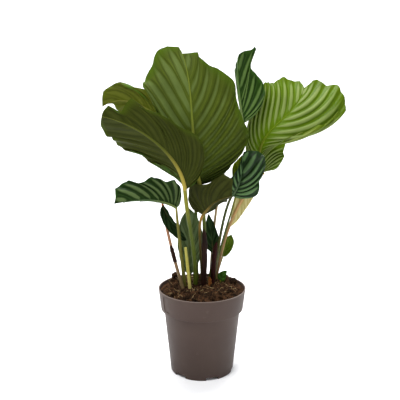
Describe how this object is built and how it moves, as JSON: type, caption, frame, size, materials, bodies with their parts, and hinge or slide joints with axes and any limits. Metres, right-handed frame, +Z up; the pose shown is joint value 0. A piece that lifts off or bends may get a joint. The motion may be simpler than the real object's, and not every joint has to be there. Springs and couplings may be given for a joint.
{
  "type": "potted calathea orbifolia",
  "caption": "Prayer plant with broad, round, pleated banded leaves on upright petioles, in a tapered plastic nursery pot with a deep rim band.",
  "frame": {"origin": "centre of the pot's base, on the surface it stands on", "axes": "+Z up; the pot's own axis is Z; the plant is shown from -Y, with its right along +X"},
  "size_m": [0.3337, 0.1402, 0.4401],
  "materials": {
    "leaf_green": "satin, banded green, olive on the underside",
    "petiole_green": "satin, deep green",
    "petiole_tan": "satin, pale tan to brown",
    "dry_sheath": "dry, fibrous, dark brown",
    "cut_stem": "pale yellow, dry at the cut",
    "peat": "rough, damp, dark brown",
    "pot_plastic": "matte moulded taupe"
  },
  "bodies": {
    "root": {"back_left_blade": "leaf_green", "back_left_petiole": "petiole_green", "centre_blade": "leaf_green", "centre_petiole": "petiole_green", "cut_stub": "cut_stem", "front_left_blade": "leaf_green", "front_left_petiole": "petiole_green", "hanging_blade": "leaf_green", "hanging_petiole": "petiole_tan", "inner_blade": "leaf_green", "inner_petiole": "petiole_green", "low_centre_blade": "leaf_green", "low_centre_petiole": "petiole_tan", "low_left_blade": "leaf_green", "low_left_petiole": "petiole_tan", "low_right_blade": "leaf_green", "low_right_petiole": "petiole_green", "pot": "pot_plastic", "right_blade": "leaf_green", "right_petiole": "petiole_tan", "rolled_blade": "leaf_green", "rolled_petiole": "petiole_tan", "sheath_base": "dry_sheath", "sheath_dark": "dry_sheath", "sheath_maroon": "dry_sheath", "sheath_wrap": "dry_sheath", "slim_blade": "leaf_green", "slim_petiole": "petiole_green", "small_round_blade": "leaf_green", "small_round_petiole": "petiole_green", "soil": "peat", "sprout_blade": "leaf_green", "sprout_petiole": "petiole_green", "upright_blade": "leaf_green", "upright_petiole": "petiole_green"}
  },
  "joints": []
}
